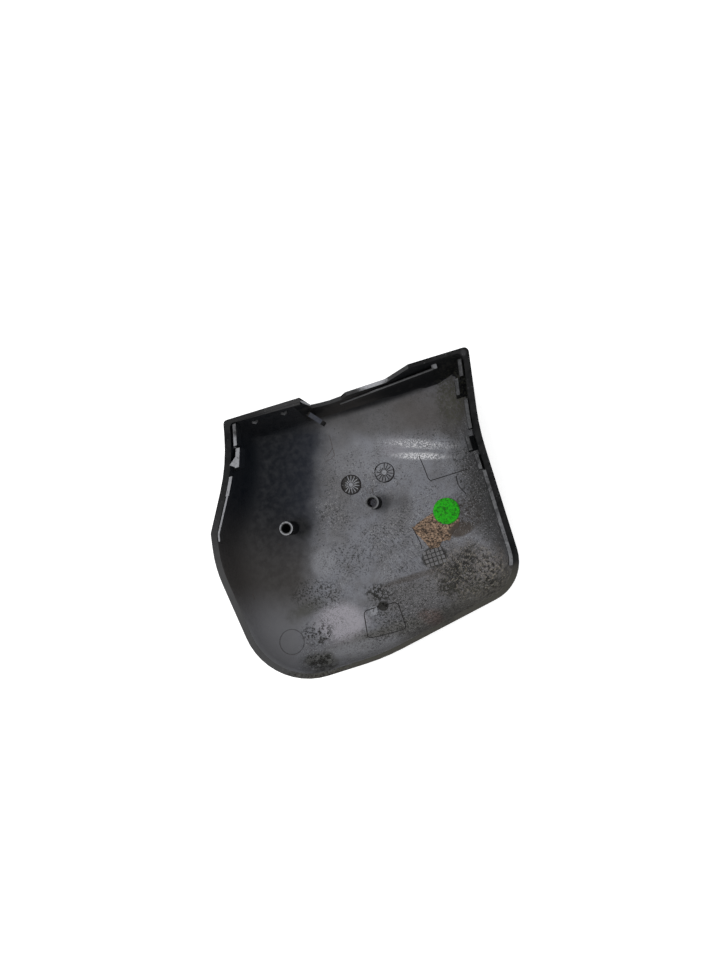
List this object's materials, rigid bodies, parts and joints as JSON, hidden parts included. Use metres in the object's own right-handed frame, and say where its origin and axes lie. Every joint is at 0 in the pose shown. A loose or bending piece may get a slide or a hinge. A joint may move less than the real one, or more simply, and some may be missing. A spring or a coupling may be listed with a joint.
{
  "type": "wing mirror cover",
  "caption": "Moulded plastic back cover of a car's wing mirror, lying on its outer face with the open side up: doubly curved shell, tongued rim, notched top wall and screw bosses.",
  "frame": {"origin": "centre of the rim outline seen from above, at the height of the surface the cover lies on", "axes": "+Z out of the open side, +X along the straight top edge, +Y across the cover towards that edge"},
  "size_m": [0.1946, 0.1754, 0.0544],
  "materials": {
    "moulded_plastic": "dusty matt black plastic, bare inside, fine grained outside",
    "green_paper": "green paper dot with a thin film on it, worn and speckled",
    "torn_paper": "brown residue of a torn paper label"
  },
  "bodies": {
    "root": {"mirror_cover": "moulded_plastic", "inspection_dot": "green_paper", "label_residue": "torn_paper"}
  },
  "joints": []
}
